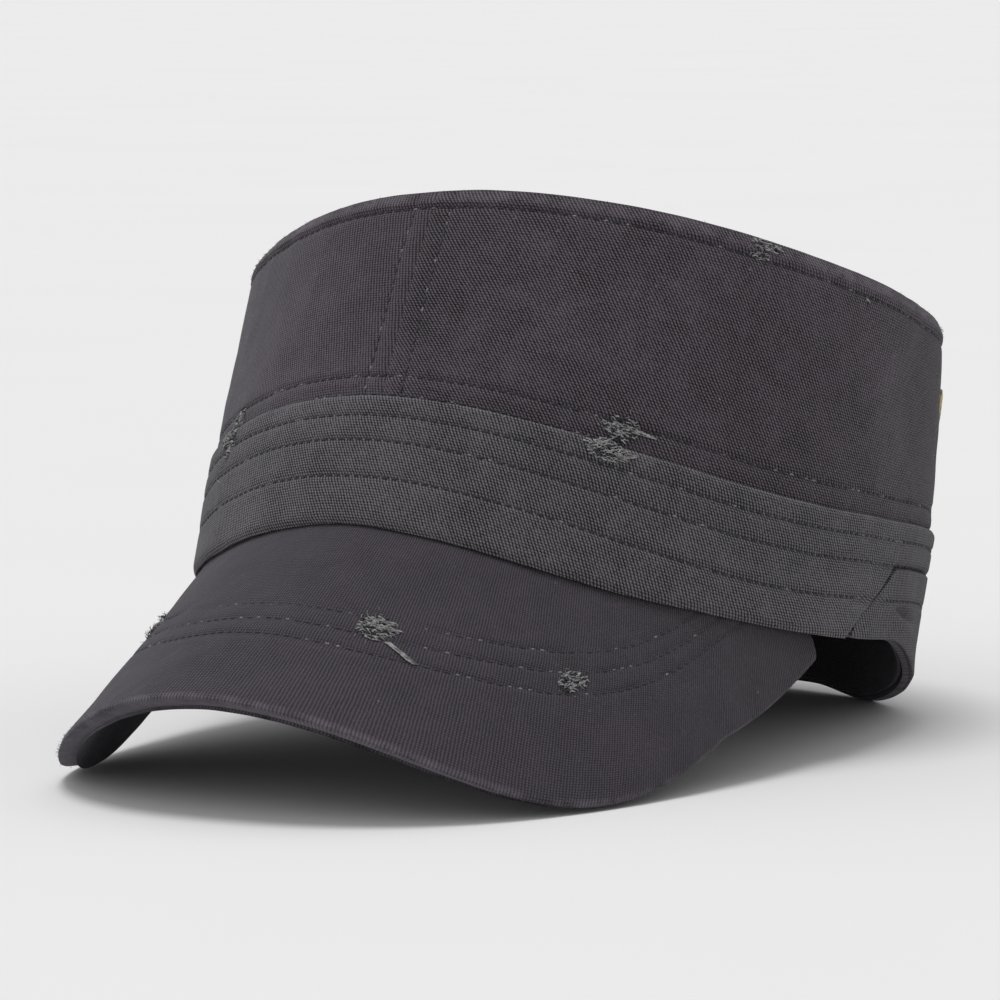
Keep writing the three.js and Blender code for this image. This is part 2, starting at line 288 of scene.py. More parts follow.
# %% [markdown]
# ## Sheets of cloth
#
# A panel starts as a flat grid with a UV map that measures its real width and height in
# millimetres, so the weave keeps its size and runs with the thread. Each corner of the grid is
# moved to its place on the cap, a wall is given to it by Solidify, and Bevel rounds its cut edges.
# Rows are closer together at the stitches, where the cloth bends most. A cloth simulation could
# drape the sheets, but it wouldn't keep the rows where the photograph has them.

# %% Finish a piece
def finish_piece(mesh, name, material, replaces=()):
    """Puts a bmesh into the scene as a finished piece that rides with the cap."""
    data = bpy.data.meshes.new(name)
    mesh.to_mesh(data)
    mesh.free()
    data.materials.append(material)
    data.shade_smooth()
    piece = bpy.data.objects.new(name, data)
    bpy.context.scene.collection.objects.link(piece)
    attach(piece, "root")
    if replaces:
        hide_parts(*replaces)
    print(name, len(data.polygons), "faces")
    return piece


# %% Lay a grid on the cap
mm_per_degree = 1.52
finer_steps = (-1.4, -0.7, -0.35, 0, 0.35, 0.7, 1.4)
smallest_step = 0.2


def spread(low, high, spacing, close=()):
    """Even steps from low to high, with finer ones round each of the close places."""
    count = max(round((high - low) / spacing), 1)
    steps = {low + (high - low) * i / count for i in range(count + 1)}
    for middle in close:
        steps |= {middle + offset for offset in finer_steps}
    inside = sorted(step for step in steps if low <= step <= high)
    kept = [inside[0]]
    for step in inside[1:]:
        if step - kept[-1] > smallest_step:
            kept.append(step)
    kept[-1] = high
    return kept


def panel(columns, rows, place, mm_across, height_of):
    """A bmesh grid whose corners lie at place(column, row). Its UV map is in millimetres."""
    mesh = bmesh.new()
    weave = mesh.loops.layers.uv.new("weave")
    across, up = len(columns) - 1, len(rows) - 1
    bmesh.ops.create_grid(mesh, x_segments=across, y_segments=up, size=0.5)
    for vert in mesh.verts:
        column = columns[round((vert.co.x + 0.5) * across)]
        row = rows[round((vert.co.y + 0.5) * up)]
        for loop in vert.link_loops:
            loop[weave].uv = (column * mm_across, height_of(column, row))
        vert.co = set_down(place(column, row))
    return mesh


# %% Measure a sheet and give it its thickness
def flat_size(mesh, columns, rows):
    """Width, length and area of a panel as it was cut, in metres."""
    area = sum(face.calc_area() for face in mesh.faces)
    across, up = len(columns), len(rows)
    mesh.verts.ensure_lookup_table()
    co = [vert.co for vert in mesh.verts]
    rows_of = [co[j * across:(j + 1) * across] for j in range(up)]
    length = max(sum((b - a).length for a, b in zip(row, row[1:])) for row in rows_of)
    width = max(
        sum((rows_of[j + 1][i] - rows_of[j][i]).length for j in range(up - 1)) for i in range(across)
    )
    return (max(width, area / length), length), area


def thicken(piece, cloth, rounding=0.35):
    """Gives a sheet its wall, on its inner side, and rounds its cut edges."""
    wall_of = piece.modifiers.new("wall", "SOLIDIFY")
    wall_of.thickness = cloth * mm
    wall_of.offset = -1
    wall_of.use_even_offset = True
    edge = piece.modifiers.new("edge", "BEVEL")
    edge.width = rounding * mm
    edge.segments = 2
    edge.limit_method = "ANGLE"
    edge.angle_limit = math.radians(50)


# %% [markdown]
# ## Twill
#
# Twill shows slanted ribs about a millimetre apart. The dye has washed out of the ribs' tops and
# stayed in the furrows between them, and the furrows are darkened further with painted shade, so
# one pattern gives the relief, the colour and that shade. Noise breaks the ribs into fibres, clouds
# the dye, and scatters light specks of lint. A real weave could be modelled, but at this size
# thousands of yarns would add nothing that relief doesn't.

# %% A small kit for node materials
def new_material(name):
    material = bpy.data.materials.new(name)
    material.use_nodes = True
    tree = material.node_tree
    tree.nodes.clear()
    output = tree.nodes.new("ShaderNodeOutputMaterial")
    shader = tree.nodes.new("ShaderNodeBsdfPrincipled")
    tree.links.new(shader.outputs["BSDF"], output.inputs["Surface"])
    return material, tree, shader


def feed(tree, target, value):
    if isinstance(value, bpy.types.NodeSocket):
        tree.links.new(value, target)
    else:
        target.default_value = value


def maths(tree, operation, first, second=0.0, third=0.0):
    node = tree.nodes.new("ShaderNodeMath")
    node.operation = operation
    for socket, value in zip(node.inputs, (first, second, third)):
        feed(tree, socket, value)
    return node.outputs[0]


def cloud(tree, vector, scale, detail=2.0, roughness=0.5):
    node = tree.nodes.new("ShaderNodeTexNoise")
    feed(tree, node.inputs["Vector"], vector)
    node.inputs["Scale"].default_value = scale
    node.inputs["Detail"].default_value = detail
    node.inputs["Roughness"].default_value = roughness
    return node.outputs["Fac"]


def between(tree, value, low, high, start=0.0, end=1.0):
    node = tree.nodes.new("ShaderNodeMapRange")
    node.interpolation_type = "SMOOTHSTEP"
    for name, number in (("Value", value), ("From Min", low), ("From Max", high)):
        feed(tree, node.inputs[name], number)
    node.inputs["To Min"].default_value = start
    node.inputs["To Max"].default_value = end
    return node.outputs["Result"]


def blended(tree, share, first, second):
    node = tree.nodes.new("ShaderNodeMix")
    node.data_type = "RGBA"
    feed(tree, node.inputs["Factor"], share)
    feed(tree, node.inputs["A"], first)
    feed(tree, node.inputs["B"], second)
    return node.outputs["Result"]


def bump(tree, height, depth, under=None):
    node = tree.nodes.new("ShaderNodeBump")
    node.inputs["Strength"].default_value = 1.0
    node.inputs["Distance"].default_value = depth
    feed(tree, node.inputs["Height"], height)
    if under is not None:
        tree.links.new(under, node.inputs["Normal"])
    return node.outputs["Normal"]


# %% Twill cloth
lint_colour = (0.25, 0.25, 0.27, 1)
yarn_pitch = 0.62
rib_depth = 0.2


def tinted(colour, share):
    return tuple(part * share for part in colour) + (1,)


def twill(name, colour, rib_angle, rib_pitch, contrast, wear_and_highlight_rows=()):
    """Washed twill. The ribs' slant is in degrees and their pitch in millimetres. The wear and
    highlight rows are rows of the UV map that are painted lighter, partly rubbed wear and partly a
    painted highlight on the rib tops, each with its height, width and strength."""
    material, tree, shader = new_material(name)
    map_node = tree.nodes.new("ShaderNodeUVMap")
    map_node.uv_map = "weave"
    place = tree.nodes.new("ShaderNodeTexCoord").outputs["Object"]
    split = tree.nodes.new("ShaderNodeSeparateXYZ")
    tree.links.new(map_node.outputs["UV"], split.inputs["Vector"])
    u, v = split.outputs["X"], split.outputs["Y"]

    sway = maths(tree, "MULTIPLY", cloud(tree, place, 190, 3, 0.6), 5.5)
    slant = math.radians(rib_angle)
    across = maths(tree, "MULTIPLY_ADD", v, math.cos(slant), maths(tree, "MULTIPLY", u, math.sin(slant)))
    phase = maths(tree, "MULTIPLY_ADD", across, 2 * math.pi / rib_pitch, sway)
    ribs = maths(tree, "MULTIPLY_ADD", maths(tree, "SINE", phase), 0.5, 0.5)
    yarn_phase = maths(tree, "MULTIPLY_ADD", v, 2 * math.pi / yarn_pitch, sway)
    yarns = maths(tree, "MULTIPLY_ADD", maths(tree, "SINE", yarn_phase), 0.5, 0.5)
    lattice = maths(tree, "MULTIPLY", ribs, maths(tree, "MULTIPLY_ADD", yarns, 0.75, 0.25))
    fibres = cloud(tree, place, 1500, 3, 0.75)
    weave = maths(tree, "MULTIPLY_ADD", fibres, 0.75, maths(tree, "MULTIPLY", lattice, 0.85))

    clouds = cloud(tree, place, 22, 3, 0.6)
    patches = cloud(tree, place, 150, 4, 0.65)
    dye = maths(tree, "MULTIPLY_ADD", patches, 0.5, maths(tree, "MULTIPLY", clouds, 0.5))
    # Dark in the furrows, light on the rib tops: partly faded dye, partly painted shade in the furrows.
    rib_fade_and_furrow_shade = between(tree, maths(tree, "MULTIPLY_ADD", dye, 0.6, weave), 0.6, 1.35)
    shade = blended(tree, rib_fade_and_furrow_shade, tinted(colour, 1 - 0.72 * contrast), tinted(colour, 1 + contrast))
    # Each wear row is painted lighter: partly rubbed wear, partly a painted highlight on the rib tops.
    for row, width, strength in wear_and_highlight_rows:
        gap = maths(tree, "ABSOLUTE", maths(tree, "SUBTRACT", v, row))
        rubbed = maths(tree, "MULTIPLY", between(tree, gap, width, 0.0), between(tree, patches, 0.3, 0.65))
        rib_highlight = maths(tree, "MULTIPLY_ADD", ribs, 0.7, 0.3)
        share = maths(tree, "MULTIPLY", maths(tree, "MULTIPLY", rubbed, rib_highlight), strength)
        shade = blended(tree, share, shade, tinted(colour, 3.0))
    lint = between(tree, cloud(tree, place, 800, 1, 0.5), 0.77, 0.83)
    shade = blended(tree, maths(tree, "MULTIPLY", lint, 0.4), shade, lint_colour)
    tree.links.new(shade, shader.inputs["Base Color"])

    shader.inputs["Roughness"].default_value = 0.95
    shader.inputs["Specular IOR Level"].default_value = 0.15
    shader.inputs["Sheen Weight"].default_value = 0.22
    shader.inputs["Sheen Roughness"].default_value = 0.4
    shader.inputs["Sheen Tint"].default_value = (0.75, 0.74, 0.8, 1)
    rough = bump(tree, maths(tree, "MULTIPLY_ADD", patches, 0.3, clouds), 0.9 * mm)
    tree.links.new(bump(tree, weave, rib_depth * contrast * mm, rough), shader.inputs["Normal"])
    return material


# %% [markdown]
# ## The cap's cloths
#
# The crown, the band and the peak have faded by different amounts, so each has its own tone of
# charcoal, matched to the photograph. One material could serve the whole cap, but the ribs slant
# differently on each piece, as each was cut its own way from the roll.

# %% The cap's cloths
purple_charcoal = (0.058, 0.049, 0.059)
grey_charcoal = (0.077, 0.073, 0.080)
peak_charcoal = (0.044, 0.038, 0.046)
near_black = (0.042, 0.040, 0.046)
# The rows below are painted lighter: partly rubbed wear, partly a painted highlight on the rib tops.
rim_wear_and_highlight = [(crown_height - 1.5, 3.6, 0.5)]
crown_left_twill = twill("crown_left_twill", purple_charcoal, 50, 0.72, 1.2, rim_wear_and_highlight)
crown_right_twill = twill("crown_right_twill", purple_charcoal, 76, 0.8, 0.95, rim_wear_and_highlight)
top_twill = twill("top_twill", purple_charcoal, 60, 0.75, 1.0)
band_twill = twill("band_twill", grey_charcoal, 58, 0.72, 1.2, [(band_height, 1.0, 0.3)])
# The lip's row is painted lighter: partly wear on the crease, partly a painted highlight where its ribs
# catch the light.
peak_twill = twill("peak_twill", peak_charcoal, 88, 0.85, 0.65, [(0.6, 1.7, 0.9)])
inner_tape = twill("inner_tape", near_black, 90, 0.7, 0.6)
print("cloth finishes made")

# %% [markdown]
# ## Crown sides
#
# Two panels meet at the middle of the front and of the back. Their top edge is turned over the
# flat top and topstitched, which leaves a raised ridge round the rim, painted lighter: partly
# rubbed wear, partly a painted highlight on the rib tops. Above the band runs one more row of
# stitches, and another right at the band's top edge, whose near-black thread also paints the dark
# shadow line at the band's fold. Down both sides of each seam runs a row of its own. The crown
# could be one closed ring, but the ribs meet at a slant at the seam, so each panel is a sheet of
# its own.

# %% Crown sides
ridge_rise = 0.45
seam_sink = 0.22
seam_swell = 0.25
rim_gap = 0.2


def crown_cloth_at(angle, height):
    out = -pucker(angle, height, crown_stitch_height)
    out -= 1.2 * pucker(angle, height, band_top_dark_line_height)
    out -= 1.2 * pucker(angle, height, rim_stitch_height)
    above = min(max((height - rim_stitch_height) / 1.2, 0), 1)
    out += ridge_rise * above * (1 + 0.4 * soft_unevenness(angle, height, 3, 5))
    from_seam = min(abs(half_turn(angle)), 180 - abs(half_turn(angle))) * mm_per_degree
    if height > band_height - 2:
        out -= seam_sink * dip(from_seam, 0.6)
        out -= 0.6 * groove_depth * dip(from_seam - seam_stitch_distance, groove_width)
        out += seam_swell * dip(from_seam - seam_stitch_distance / 2, 2.0)
    return wall(angle, height, out)


def crown_height_of(angle, share):
    low = hem_height(angle)
    return low + (crown_height - rim_gap - low) * share


def crown_place(angle, share):
    return crown_cloth_at(angle, crown_height_of(angle, share))


seam_lines = [seam_stitch_distance / mm_per_degree * side for side in (-1, 1)]
rows = spread(0, crown_height, 2.2, [rim_stitch_height, crown_stitch_height])
shares = [row / crown_height for row in rows]
for name, first, last, cloth, node in (
    ("crown_left_cloth", 0, 180, crown_left_twill, "crown_side_left"),
    ("crown_right_cloth", -180, 0, crown_right_twill, "crown_side_right"),
):
    columns = spread(first, last, 0.9, [line_at for line_at in seam_lines if first < line_at < last])
    mesh = panel(columns, shares, crown_place, mm_per_degree, crown_height_of)
    flat, area = flat_size(mesh, columns, shares)
    side = finish_piece(mesh, name, cloth, [node])
    thicken(side, crown_cloth)

# %% [markdown]
# ## Flat top
#
# The top is spun from a short profile: flat in the middle, falling a little to the rim. The spin
# gives a round plate with its pole closed, which is then fitted to the oval of the rim. A filled
# circle would be quicker, but it has no rings of faces for the groove that the stitches press in.

# %% Flat top
top_flat_share = 0.7
top_dome = 2.5
top_stitch_reach = 0.935
top_edge_reach = 0.945
top_groove = 0.3
top_edge_rise = 0.35
top_middle = Vector((0, (top_back - top_front) / 2, 0))
flat_rise = wave(45, rim) * crown_height


def top_point(reach, angle, depth):
    rim_point = wall(angle, crown_height, -0.3)
    point = top_middle + (Vector((rim_point.x, rim_point.y, 0)) - top_middle) * reach
    rise = rim_point.z - crown_height - rim_point.x * top_lean
    past = min(max((reach - top_flat_share) / (1 - top_flat_share), 0), 1)
    share = past * past * (3 - 2 * past)
    dome = top_dome * math.cos(share * math.pi / 2)
    slack = 0.5 * noise.noise(Vector((point.x, point.y, 5)) / 30) * min((1 - reach) * 4, 1)
    level = crown_height + flat_rise + (rise - flat_rise) * share + point.x * top_lean
    return Vector((point.x, point.y, level + dome + slack - depth))


mesh = bmesh.new()
weave = mesh.loops.layers.uv.new("weave")
reaches = [0, 0.12, 0.25, 0.4, 0.55, 0.7, 0.78, 0.84, 0.88, 0.91, 0.925, 0.935, 0.945, 0.96, 0.98, 1.0]
profile = [mesh.verts.new((reach, 0, 0)) for reach in reaches]
edges = [mesh.edges.new(pair) for pair in zip(profile, profile[1:])]
bmesh.ops.spin(
    mesh, geom=profile + edges, cent=(0, 0, 0), axis=(0, 0, 1),
    angle=2 * math.pi, steps=360, use_merge=True,
)
bmesh.ops.remove_doubles(mesh, verts=mesh.verts, dist=1e-6)
bmesh.ops.recalc_face_normals(mesh, faces=mesh.faces)
if sum(face.normal.z for face in mesh.faces) < 0:
    bmesh.ops.reverse_faces(mesh, faces=mesh.faces)
for vert in mesh.verts:
    reach = math.hypot(vert.co.x, vert.co.y)
    angle = math.degrees(math.atan2(vert.co.x, -vert.co.y))
    stitched = top_groove * dip((reach - top_stitch_reach) * top_half_width, groove_width)
    edge = top_edge_rise * max((reach - top_edge_reach) / (1 - top_edge_reach), 0)
    point = top_point(reach, angle, stitched - edge)
    for loop in vert.link_loops:
        loop[weave].uv = (point.x, point.y)
    vert.co = set_down(point)
top_area = sum(face.calc_area() for face in mesh.faces)
top_cloth = finish_piece(mesh, "crown_top_cloth", top_twill, ["crown_top"])
thicken(top_cloth, crown_cloth)

# %% [markdown]
# ## Band and flap
#
# The band is one strip folded over at its top. In front its lower half hangs free over the root of
# the peak, and its folded lower edge rolls in and lies almost on the peak. At each side the flap
# ends in a slanted cut. A cloth simulation could hang the flap, but the photograph shows how far it
# stands off, so a rule for that distance is simpler and gives the same flap each time.

# %% Band
band_cloth = 1.0
clearance = 0.3
flap_hinge_height = 19
flap_stand_off = 0.7
flap_overhang = 0.6
flap_end_low = 86
flap_end_high = 98
flap_lift = 2.2
hem_roll = 0.9
top_roll = 0.6


def band_bottom(angle):
    turned = abs(half_turn(angle))
    past = min(max((turned - flap_end_low) / (flap_end_high - flap_end_low), 0), 1)
    low = hem_height(angle) - flap_overhang
    return low + (flap_hinge_height - low) * past


def flap_stand(angle, height):
    """How far the flap stands off the wall: more at its foot, and most at its free ends."""
    down = min(max((flap_hinge_height - height) / flap_hinge_height, 0), 1)
    end = dip(abs(half_turn(angle)) - flap_end_low, 14)
    return (flap_stand_off + flap_lift * end) * down ** 1.3


def band_point(angle, height):
    out = clearance + band_cloth + flap_stand(angle, height)
    out -= sum(pucker(angle, height, row) for row in band_stitch_heights)
    from_bottom = height - band_bottom(angle)
    from_top = band_height - height
    out -= hem_roll * max(1 - from_bottom / 2.2, 0) ** 2 + top_roll * max(1 - from_top / 1.4, 0) ** 2
    return wall(angle, height, out)


def band_height_of(angle, share):
    low = band_bottom(angle)
    return low + (band_height - low) * share


def band_place(angle, share):
    return band_point(angle, band_height_of(angle, share))


def ring_columns(spacing):
    ends = [flap_end_low, flap_end_high]
    return spread(-180, 180, spacing, [end * side for end in ends for side in (-1, 1)])


def closed_ring(mesh):
    bmesh.ops.remove_doubles(mesh, verts=mesh.verts, dist=1e-5)
    return mesh


columns = ring_columns(0.9)
rows = spread(0, band_height, 1.6, band_stitch_heights + (0.6, 29.4))
shares = [row / band_height for row in rows]
mesh = panel(columns, shares, band_place, mm_per_degree, band_height_of)
flat, area = flat_size(mesh, columns, shares)
band = finish_piece(closed_ring(mesh), "band_cloth", band_twill, ["band"])
thicken(band, band_cloth, rounding=0.4)

# %% [markdown]
# ## Under band
#
# Behind the ends of the flap and round the back, a second strip runs on down to the hem. On the
# wearer's left it has a small pinch, where the cloth buckled. That could be sculpted. Here it is
# one narrow fold pressed into the strip, with a low swell below it, so a few numbers move it.

# %% Under band
flap_tuck = 4
pinch_angle = 106
pinch_height = 7.5
pinch_depth = 2.2
under_columns = spread(flap_end_low + flap_tuck, 360 - flap_end_low - flap_tuck, 0.9)


def under_height_of(angle, share):
    low = hem_height(angle)
    return low + (band_bottom(angle) - 2 * clearance - low) * share


def under_point(angle, height):
    """The strip behind the flap's end, with the pinch that its left side has."""
    turned = half_turn(angle)
    fold_slope = height - pinch_height + (turned - pinch_angle) * 0.3
    fold = pinch_depth * dip(turned - pinch_angle, 5) * dip(fold_slope, 1.3)
    swell = 0.5 * pinch_depth * dip(turned - pinch_angle, 6) * dip(fold_slope + 3.5, 2.5)
    out = clearance + band_cloth + swell - fold - pucker(angle, height, band_stitch_heights[2])
    out -= 0.4 * max(1 - (height - hem_height(angle)) / 1.1, 0) ** 2
    return wall(angle, height, out)


def under_place(angle, share):
    return under_point(angle, under_height_of(angle, share))


shares = [i / 30 for i in range(31)]
mesh = panel(under_columns, shares, under_place, mm_per_degree, under_height_of)
flat, area = flat_size(mesh, under_columns, shares)
under = finish_piece(mesh, "under_band_cloth", band_twill, ["under_band"])
thicken(under, band_cloth, rounding=0.4)

# %% [markdown]
# ## Sweatband
#
# A strip of near-black tape is sewn inside the opening, where it touches the head. It lies against
# the inner side of the wall, a little above the hem. It is the plainest of the sheets, because only
# its far side shows, in deep shade, so it needs no stitches of its own.

# %% Sweatband
sweatband_height = 30
sweatband_cloth = 1
sweatband_inset = 1


def sweat_height_of(angle, share):
    low = hem_height(angle) + sweatband_inset
    return low + (sweatband_height - low) * share


def sweat_place(angle, share):
    return wall(angle, sweat_height_of(angle, share), -crown_cloth - clearance)


columns = spread(-180, 180, 1.8)
shares = [i / 12 for i in range(13)]
mesh = panel(columns, shares, sweat_place, mm_per_degree, sweat_height_of)
flat, area = flat_size(mesh, columns, shares)
sweat = finish_piece(closed_ring(mesh), "sweatband_cloth", inner_tape, ["sweatband"])
thicken(sweat, sweatband_cloth)

# %% [markdown]
# ## Peak
#
# The peak is a stiff board between two layers of twill, so it is one thick sheet with a square
# lip. It slopes forward, arches over the brow and bends down hardest at its two corners. Three
# rows of stitches follow the lip and quilt the cloth to the board. A flat sheet could be bent by a
# modifier, but not so that its root meets the wall all the way round. So the arch is a height over
# the plan, and the sheet's columns run across it from the root to the lip.

# %% The arch of the peak
peak_half_width = 77.7
peak_reach = 47.6
peak_side_start = 4.6
peak_front_squareness = 2.32
peak_side_squareness = 2.25
peak_slope = math.tan(math.radians(43.8))
peak_arch_depth = 54
peak_arch_power = 2.04
peak_corner_depth = 29.5
peak_corner_power = 5
peak_narrowing = 0.14
peak_root_drop = 7.8
peak_root_angle = 80
peak_lip_angle = 87
peak_thickness = 4.4
peak_stitch_distances = (39, 33, 27)
peak_width = 66


def arch_height(x, y):
    halfway = hem_front / 2
    forward = min(max((-y - halfway) / (halfway + peak_reach), 0), 1)
    aside = abs(x) / (peak_half_width * (1 - peak_narrowing * forward))
    arch = peak_arch_depth * aside ** peak_arch_power + peak_corner_depth * aside ** peak_corner_power
    return -peak_root_drop - (-y - hem_front) * peak_slope - arch


def peak_normal(x, y):
    aside = (arch_height(x + 0.1, y) - arch_height(x - 0.1, y)) / 0.2
    back = (arch_height(x, y + 0.1) - arch_height(x, y - 0.1)) / 0.2
    return Vector((-aside, -back, 1)).normalized()


def root_point(angle):
    base = oval(angle, hem_height(angle))
    point = base - oval_outwards(angle, hem_height(angle)) * pressed(angle, hem_height(angle))
    point.z -= clearance
    return point - peak_normal(point.x, point.y) * peak_thickness


def lip_point(angle):
    turn = math.radians(angle)
    length = hem_front + peak_reach - peak_side_start
    x = peak_half_width * squared(math.sin(turn), peak_side_squareness)
    y = -peak_side_start - length * squared(math.cos(turn), peak_front_squareness)
    return Vector((x, y, arch_height(x, y)))


def evenly(curve, reach, count):
    """Points an even distance apart along a curve of the angle from -reach to reach."""
    fine = [curve(reach * (2 * i / 900 - 1)) for i in range(901)]
    lengths = [0]
    for a, b in zip(fine, fine[1:]):
        lengths.append(lengths[-1] + (b - a).length)
    points, i = [], 0
    for step in range(count + 1):
        want = lengths[-1] * step / count
        while i < 899 and lengths[i + 1] < want:
            i += 1
        part = (want - lengths[i]) / max(lengths[i + 1] - lengths[i], 1e-9)
        points.append(fine[i].lerp(fine[i + 1], min(part, 1)))
    return points


# %% Peak
peak_columns = 320
roots = evenly(root_point, peak_root_angle, peak_columns)
lips = evenly(lip_point, peak_lip_angle, peak_columns)


def peak_face(column, share, above):
    """A point of the peak, from 0 at the lip to 1 at the root, above its lower face."""
    start, end = roots[column], lips[column]
    point = start.lerp(end, 1 - share)
    error = start.z - arch_height(start.x, start.y)
    point.z = arch_height(point.x, point.y) + error * share ** 2
    return point + peak_normal(point.x, point.y) * above


def peak_relief(column, share):
    """Grooves of the stitched rows, the swell between them, and the crease above the lip."""
    width = (roots[column] - lips[column]).length
    from_lip = width * share
    spot = lips[column].lerp(roots[column], share)
    out = 0.3 * noise.noise(spot / 22) + 0.12 * noise.noise(spot / 7)
    if width > 20:
        grooves = (0.8 * groove_depth * dip(from_lip - row, groove_width) for row in peak_stitch_distances)
        out -= sum(grooves)
    out -= 0.5 * max(1 - from_lip / 1.2, 0) ** 2
    return out


def peak_place(column, share):
    return peak_face(column, share, peak_thickness + peak_relief(column, share))


def peak_height_of(column, share):
    return share * peak_width


rows = spread(0, peak_width, 1.8, peak_stitch_distances + (0.7,))
shares = [row / peak_width for row in rows]
columns = list(range(peak_columns + 1))
lip_length = sum((b - a).length for a, b in zip(lips, lips[1:]))
mesh = panel(columns, shares, peak_place, lip_length / peak_columns, peak_height_of)
peak = finish_piece(mesh, "peak_cloth", peak_twill, ["peak"])
thicken(peak, peak_thickness, rounding=0.8)

# %% [markdown]
# ## Stitches
#
# Each stitch is a short bead of thread that dips into the cloth at both ends. A row is laid along a
# path of points, with the surface's outward direction at each. Most of the thread is near black. A
# few stitches are given a paler, shorter thread: partly thread rubbed light where it stood proud,
# partly painted glints. Copies of one stitch would all look alike. So each stitch is a short curve
# with its own length, and the curves are turned into one mesh, which is quick even for thousands
# of them.

# %% Thread finishes
def plain_thread(name, colour, lighter, roughness):
    material, tree, shader = new_material(name)
    place = tree.nodes.new("ShaderNodeTexCoord").outputs["Object"]
    fibre = cloud(tree, place, 900, 3, 0.7)
    shade = blended(tree, between(tree, fibre, 0.4, 0.62), colour, lighter)
    tree.links.new(shade, shader.inputs["Base Color"])
    shader.inputs["Roughness"].default_value = roughness
    shader.inputs["Sheen Weight"].default_value = 0.1
    tree.links.new(bump(tree, fibre, 0.05 * mm), shader.inputs["Normal"])
    return material


dark_thread = plain_thread("dark_thread", (0.008, 0.008, 0.013, 1), (0.022, 0.021, 0.032, 1), 0.75)
# Paler thread: partly thread rubbed light, partly painted glints on the stitches.
worn_and_glint_thread = plain_thread("worn_and_glint_thread", (0.09, 0.09, 0.10, 1), (0.2, 0.2, 0.22, 1), 0.8)
print("thread finishes made")

# %% Helpers that lay threads
def walk(path, pitch):
    """Every pitch millimetres along a path of (point, outwards) pairs: point, direction, outwards."""
    found = []
    travelled, want = 0.0, pitch / 2
    for (a, out_a), (b, out_b) in zip(path, path[1:]):
        step = (b - a).length
        while step > 0 and travelled + step >= want:
            share = (want - travelled) / step
            found.append((a.lerp(b, share), (b - a).normalized(), out_a.lerp(out_b, share).normalized()))
            want += pitch
        travelled += step
    return found


def thread_piece(name, threads, material):
    """Makes one piece of many threads. Each thread is a list of (point, thickness)."""
    curve = bpy.data.curves.new(name, "CURVE")
    curve.dimensions = "3D"
    curve.bevel_depth = 0.5 * mm
    curve.bevel_resolution = 1
    curve.use_fill_caps = True
    for thread in threads:
        spline = curve.splines.new("POLY")
        spline.points.add(len(thread) - 1)
        for knot, (point, thickness) in zip(spline.points, thread):
            knot.co = (*set_down(point), 1)
            knot.radius = thickness
    shape = bpy.data.objects.new(name, curve)
    bpy.context.scene.collection.objects.link(shape)
    made = bpy.data.meshes.new_from_object(shape.evaluated_get(bpy.context.evaluated_depsgraph_get()))
    bpy.data.objects.remove(shape)
    mesh = bmesh.new()
    mesh.from_mesh(made)
    bpy.data.meshes.remove(made)
    bmesh.ops.remove_doubles(mesh, verts=mesh.verts, dist=1e-7)
    bmesh.ops.recalc_face_normals(mesh, faces=mesh.faces)
    return finish_piece(mesh, name, material)


# %% Lay the stitches
stitch_pitch = 2.5
stitch_length = 1.8
stitch_thickness = 0.5
row_step = 0.6
# Shares of stitches that get the paler, shorter thread: partly rubbed wear, partly painted glints.
crown_worn_and_glint = 0.16
band_worn_and_glint = 0.08
hidden_worn_and_glint = 0.05
edge_worn_and_glint = 0.1
seam_worn_and_glint = 0.25
peak_worn_and_glint = 0.25
under_row_start = 97
chance = random.Random(7)
dark_stitches, worn_and_glint_stitches = [], []
arch_of_stitch = [(-0.5, -0.2, 0.6), (-0.3, 0.06, 1.0), (0, 0.12, 1.0), (0.3, 0.06, 1.0), (0.5, -0.2, 0.6)]


def lay_stitches(path, worn_and_glint_chance):
    for point, along, out in walk(path, stitch_pitch):
        length = stitch_length * chance.uniform(0.85, 1.15)
        worn_and_glint = chance.random() < worn_and_glint_chance
        if worn_and_glint:
            length *= chance.uniform(0.35, 0.6)
        thread = [
            (point + along * length * share + out * rise, stitch_thickness * width)
            for share, rise, width in arch_of_stitch
        ]
        (worn_and_glint_stitches if worn_and_glint else dark_stitches).append(thread)


def wall_row(first, last, height, surface):
    count = round(abs(last - first) / row_step)
    angles = [first + (last - first) * i / count for i in range(count + 1)]
    return [(surface(angle, height), oval_outwards(angle, height)) for angle in angles]


lay_stitches(wall_row(-180, 180, crown_stitch_height, crown_cloth_at), crown_worn_and_glint)
lay_stitches(wall_row(-180, 180, rim_stitch_height, crown_cloth_at), crown_worn_and_glint)
# Near-black stitches at the band's top edge, which also paint the dark shadow line there.
lay_stitches(wall_row(-180, 180, band_top_dark_line_height, crown_cloth_at), edge_worn_and_glint)
for row in band_stitch_heights[:2]:
    lay_stitches(wall_row(-180, 180, row, band_point), band_worn_and_glint)
flap_row_end = flap_end_low + 3.5
lay_stitches(wall_row(-flap_row_end, flap_row_end, band_stitch_heights[2], band_point), band_worn_and_glint)
under_row = wall_row(under_row_start, 360 - under_row_start, band_stitch_heights[2], under_point)
lay_stitches(under_row, hidden_worn_and_glint)
for middle in (0, 180):
    for side in (-1, 1):
        angle = middle + side * seam_stitch_distance / mm_per_degree
        heights = [band_height + 1 + i for i in range(round(rim_stitch_height - band_height - 1))]
        seam_row = [(crown_cloth_at(angle, height), oval_outwards(angle, height)) for height in heights]
        lay_stitches(seam_row, seam_worn_and_glint)
for distance in peak_stitch_distances:
    peak_row = []
    for column in range(peak_columns + 1):
        width = (roots[column] - lips[column]).length
        if width > distance + 3:
            point = peak_place(column, distance / width)
            peak_row.append((point, peak_normal(point.x, point.y)))
    lay_stitches(peak_row, peak_worn_and_glint)
thread_piece("stitches", dark_stitches, dark_thread)
thread_piece("stitches_worn_and_glint", worn_and_glint_stitches, worn_and_glint_thread)

